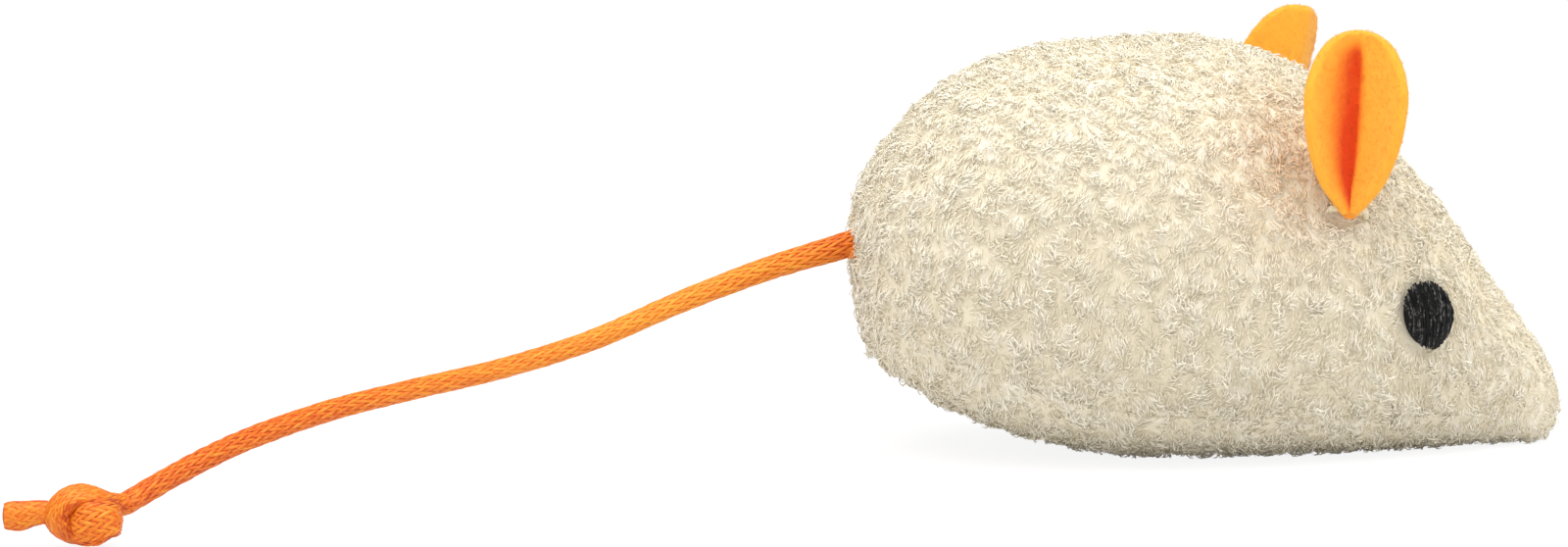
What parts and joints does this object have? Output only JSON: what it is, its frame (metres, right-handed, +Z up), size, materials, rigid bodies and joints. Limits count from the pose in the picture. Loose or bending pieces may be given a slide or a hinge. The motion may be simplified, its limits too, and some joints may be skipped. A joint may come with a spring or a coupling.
{
  "type": "catnip mouse",
  "caption": "Stuffed plush toy mouse on a flat belly, with folded felt ears, satin-stitched eyes and a knotted cord tail.",
  "frame": {"origin": "on the floor, under the middle of the body's box, the tail's cord left out", "axes": "+X from rump to nose, +Y to the mouse's left side, +Z up"},
  "size_m": [0.1514, 0.0626, 0.0416],
  "materials": {
    "cream_plush": "short tufted pile",
    "orange_felt": "pressed felt",
    "sewing_thread": "spun thread",
    "black_embroidery": "satin stitch",
    "polyester_wadding": "fluffy",
    "sachet_cloth": "thin nonwoven",
    "dried_catnip": "crumbled dry leaf",
    "orange_satin_cord": "satin, knitted"
  },
  "bodies": {
    "mouse": {"belly_panel": "cream_plush", "right_side_panel": "cream_plush", "left_side_panel": "cream_plush", "right_ear_tack": "sewing_thread", "left_ear_tack": "sewing_thread", "right_eye": "black_embroidery", "left_eye": "black_embroidery", "right_eye_backing": "polyester_wadding", "left_eye_backing": "polyester_wadding", "back_seam_thread": "sewing_thread", "rump_seam_thread": "sewing_thread", "right_belly_seam_thread": "sewing_thread", "left_belly_seam_thread": "sewing_thread", "closing_stitch": "sewing_thread", "sachet_upper_sheet": "sachet_cloth", "sachet_lower_sheet": "sachet_cloth", "dried_catnip": "dried_catnip", "body_filling": "polyester_wadding", "head_filling": "polyester_wadding", "tail_anchor": "orange_satin_cord", "tail_bar_tack": "sewing_thread"},
    "right_ear": {"right_ear": "orange_felt"},
    "left_ear": {"left_ear": "orange_felt"},
    "tail_upper": {"tail_upper": "orange_satin_cord"},
    "tail_lower": {"tail_lower": "orange_satin_cord", "tail_knot": "orange_satin_cord", "tail_end": "orange_satin_cord"}
  },
  "joints": [
    {"name": "right_ear_flex", "type": "hinge", "parent": "mouse", "child": "right_ear", "pos_m": [0.00959, -0.01594, 0.0248], "axis": [0.9703, -0.2419, 0], "range_deg": [-25, 60], "stiffness_Nm_per_rad": 0.0002},
    {"name": "left_ear_flex", "type": "hinge", "parent": "mouse", "child": "left_ear", "pos_m": [0.00959, 0.01616, 0.02419], "axis": [-0.9135, -0.4067, 0], "range_deg": [-25, 60], "stiffness_Nm_per_rad": 0.0002},
    {"name": "tail_sweep", "type": "hinge", "parent": "mouse", "child": "tail_upper", "pos_m": [-0.0363, 0, 0.0198], "axis": [0, 0, 1], "range_deg": [-60, 60], "stiffness_Nm_per_rad": 0.002},
    {"name": "tail_curl", "type": "hinge", "parent": "tail_upper", "child": "tail_lower", "pos_m": [-0.07257, -0.01326, 0.01031], "axis": [-0.493, 0.87, 0], "range_deg": [0, 80], "stiffness_Nm_per_rad": 0.001}
  ]
}
